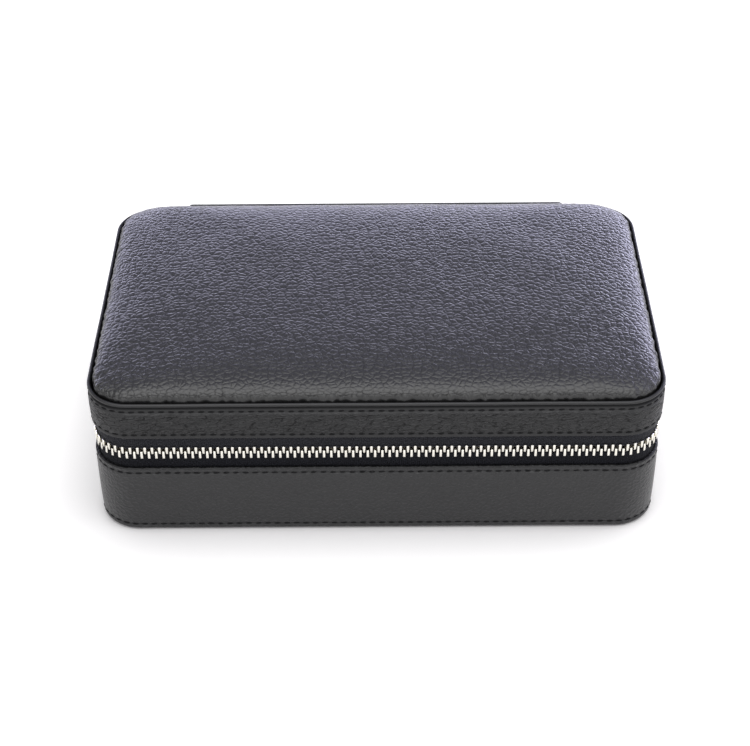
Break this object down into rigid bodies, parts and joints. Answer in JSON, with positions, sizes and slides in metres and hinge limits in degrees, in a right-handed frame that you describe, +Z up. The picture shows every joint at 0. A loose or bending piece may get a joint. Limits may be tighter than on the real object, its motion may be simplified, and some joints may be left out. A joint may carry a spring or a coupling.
{
  "type": "travel jewelry box",
  "caption": "Zip-around travel jewelry box in black grained leather with a padded domed lid, a leather hinge, a mirror in the lid, ring rolls and divided trays.",
  "frame": {"origin": "middle of the case's flat underside, where it rests", "axes": "+X along the width to the side with the zip's slider, +Y to the hinge at the back, +Z up"},
  "size_m": [0.1846, 0.1107, 0.0593],
  "materials": {
    "grained_leather": "pebble grain, satin",
    "board": "matte",
    "suede": "brushed",
    "padding": "open foam",
    "zip_tape": "woven",
    "zip_metal": "satin",
    "slider_metal": "polished",
    "mirror_frame": "matte",
    "mirror": "mirror"
  },
  "bodies": {
    "base": {"base_bottom_leather": "grained_leather", "base_side_leather": "grained_leather", "base_floor_board": "board", "base_wall_board": "board", "inner_collar": "suede", "floor_lining": "suede", "long_divider": "suede", "cross_divider": "suede", "short_divider": "suede", "ring_roll_1": "suede", "ring_roll_2": "suede", "ring_roll_3": "suede", "ring_roll_4": "suede", "ring_roll_5": "suede", "hinge_spine": "grained_leather", "hinge_lining": "zip_tape", "lower_zip_tape": "zip_tape", "lower_zip_teeth": "zip_metal", "lower_side_teeth": "zip_metal", "zip_bottom_stop": "zip_metal", "lower_top_stop": "zip_metal"},
    "lid": {"lid_side_leather": "grained_leather", "lid_wall_board": "board", "lid_top_board": "board", "lid_foam": "padding", "lid_top_leather": "grained_leather", "lid_wall_lining": "suede", "lid_top_lining": "suede", "mirror_frame": "mirror_frame", "mirror": "mirror", "upper_zip_tape": "zip_tape", "upper_zip_teeth": "zip_metal", "upper_side_teeth": "zip_metal", "upper_top_stop": "zip_metal"},
    "slider": {"slider_body": "slider_metal", "slider_bail": "slider_metal"},
    "puller": {"puller_link": "slider_metal", "puller_tab": "grained_leather", "puller_rivet": "slider_metal"}
  },
  "joints": [
    {"name": "lid_hinge", "type": "hinge", "parent": "base", "child": "lid", "pos_m": [0, 0.05475, 0.03245], "axis": [-1, 0, 0], "range_deg": [0, 105], "deforming": ["hinge_spine", "hinge_lining"]},
    {"name": "zip_slide", "type": "slide", "parent": "base", "child": "slider", "axis": [0, -1, 0], "range_m": [0, 0.068], "deforming": ["lower_side_teeth", "upper_side_teeth"]},
    {"name": "puller_swing", "type": "hinge", "parent": "slider", "child": "puller", "pos_m": [0.0929, 0.034, 0.03245], "axis": [0, -1, 0], "range_deg": [0, 150]}
  ]
}
